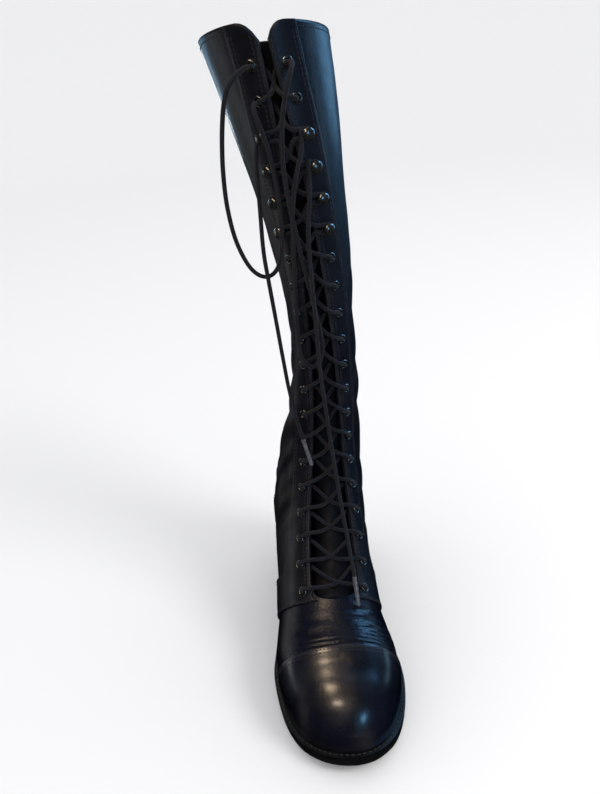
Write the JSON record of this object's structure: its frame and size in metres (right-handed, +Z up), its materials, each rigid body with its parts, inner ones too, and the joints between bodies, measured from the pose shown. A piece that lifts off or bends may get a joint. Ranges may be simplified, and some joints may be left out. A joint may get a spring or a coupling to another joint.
{
  "type": "lace-up boot",
  "caption": "Knee-high lace-up leather boot for the right foot with a block heel, toe cap, long eyelet facings with hooks and a loose lace.",
  "frame": {"origin": "middle of the heel's flat foot, on the floor", "axes": "+Z up along the shaft, toe towards -Y, inner (medial) side towards +X"},
  "size_m": [0.1039, 0.2733, 0.4617],
  "materials": {
    "navy_leather": "polished, worn",
    "sole_rubber": "matt",
    "welt_leather": "waxed edge",
    "insole_leather": "matt",
    "gunmetal": "dark plated",
    "lace_cord": "braided",
    "aglet_plastic": "smooth"
  },
  "bodies": {
    "root": {"upper": "navy_leather", "tongue": "navy_leather", "toe_cap": "navy_leather", "heel_counter": "navy_leather", "facing_outer": "navy_leather", "facing_inner": "navy_leather", "outsole": "sole_rubber", "heel": "sole_rubber", "welt": "welt_leather", "insole": "insole_leather", "eyelet_outer_01": "gunmetal", "eyelet_outer_02": "gunmetal", "eyelet_outer_07": "gunmetal", "eyelet_outer_08": "gunmetal", "eyelet_outer_09": "gunmetal", "eyelet_outer_10": "gunmetal", "eyelet_outer_11": "gunmetal", "eyelet_outer_12": "gunmetal", "eyelet_outer_13": "gunmetal", "eyelet_outer_14": "gunmetal", "eyelet_outer_15": "gunmetal", "eyelet_outer_16": "gunmetal", "eyelet_outer_17": "gunmetal", "eyelet_outer_18": "gunmetal", "eyelet_outer_19": "gunmetal", "eyelet_outer_20": "gunmetal", "eyelet_inner_01": "gunmetal", "eyelet_inner_02": "gunmetal", "eyelet_inner_07": "gunmetal", "eyelet_inner_08": "gunmetal", "eyelet_inner_09": "gunmetal", "eyelet_inner_10": "gunmetal", "eyelet_inner_11": "gunmetal", "eyelet_inner_12": "gunmetal", "eyelet_inner_13": "gunmetal", "eyelet_inner_14": "gunmetal", "eyelet_inner_15": "gunmetal", "eyelet_inner_16": "gunmetal", "eyelet_inner_17": "gunmetal", "eyelet_inner_18": "gunmetal", "eyelet_inner_19": "gunmetal", "eyelet_inner_20": "gunmetal", "hook_outer_03": "gunmetal", "hook_outer_04": "gunmetal", "hook_outer_05": "gunmetal", "hook_outer_06": "gunmetal", "hook_inner_03": "gunmetal", "hook_inner_04": "gunmetal", "hook_inner_05": "gunmetal", "hook_inner_06": "gunmetal", "lace_loop_outer": "lace_cord", "lace_end_outer": "lace_cord", "lace_loop_inner": "lace_cord", "lace_end_inner": "lace_cord", "lace_crossings": "lace_cord", "aglet_outer": "aglet_plastic", "aglet_inner": "aglet_plastic"}
  },
  "joints": []
}
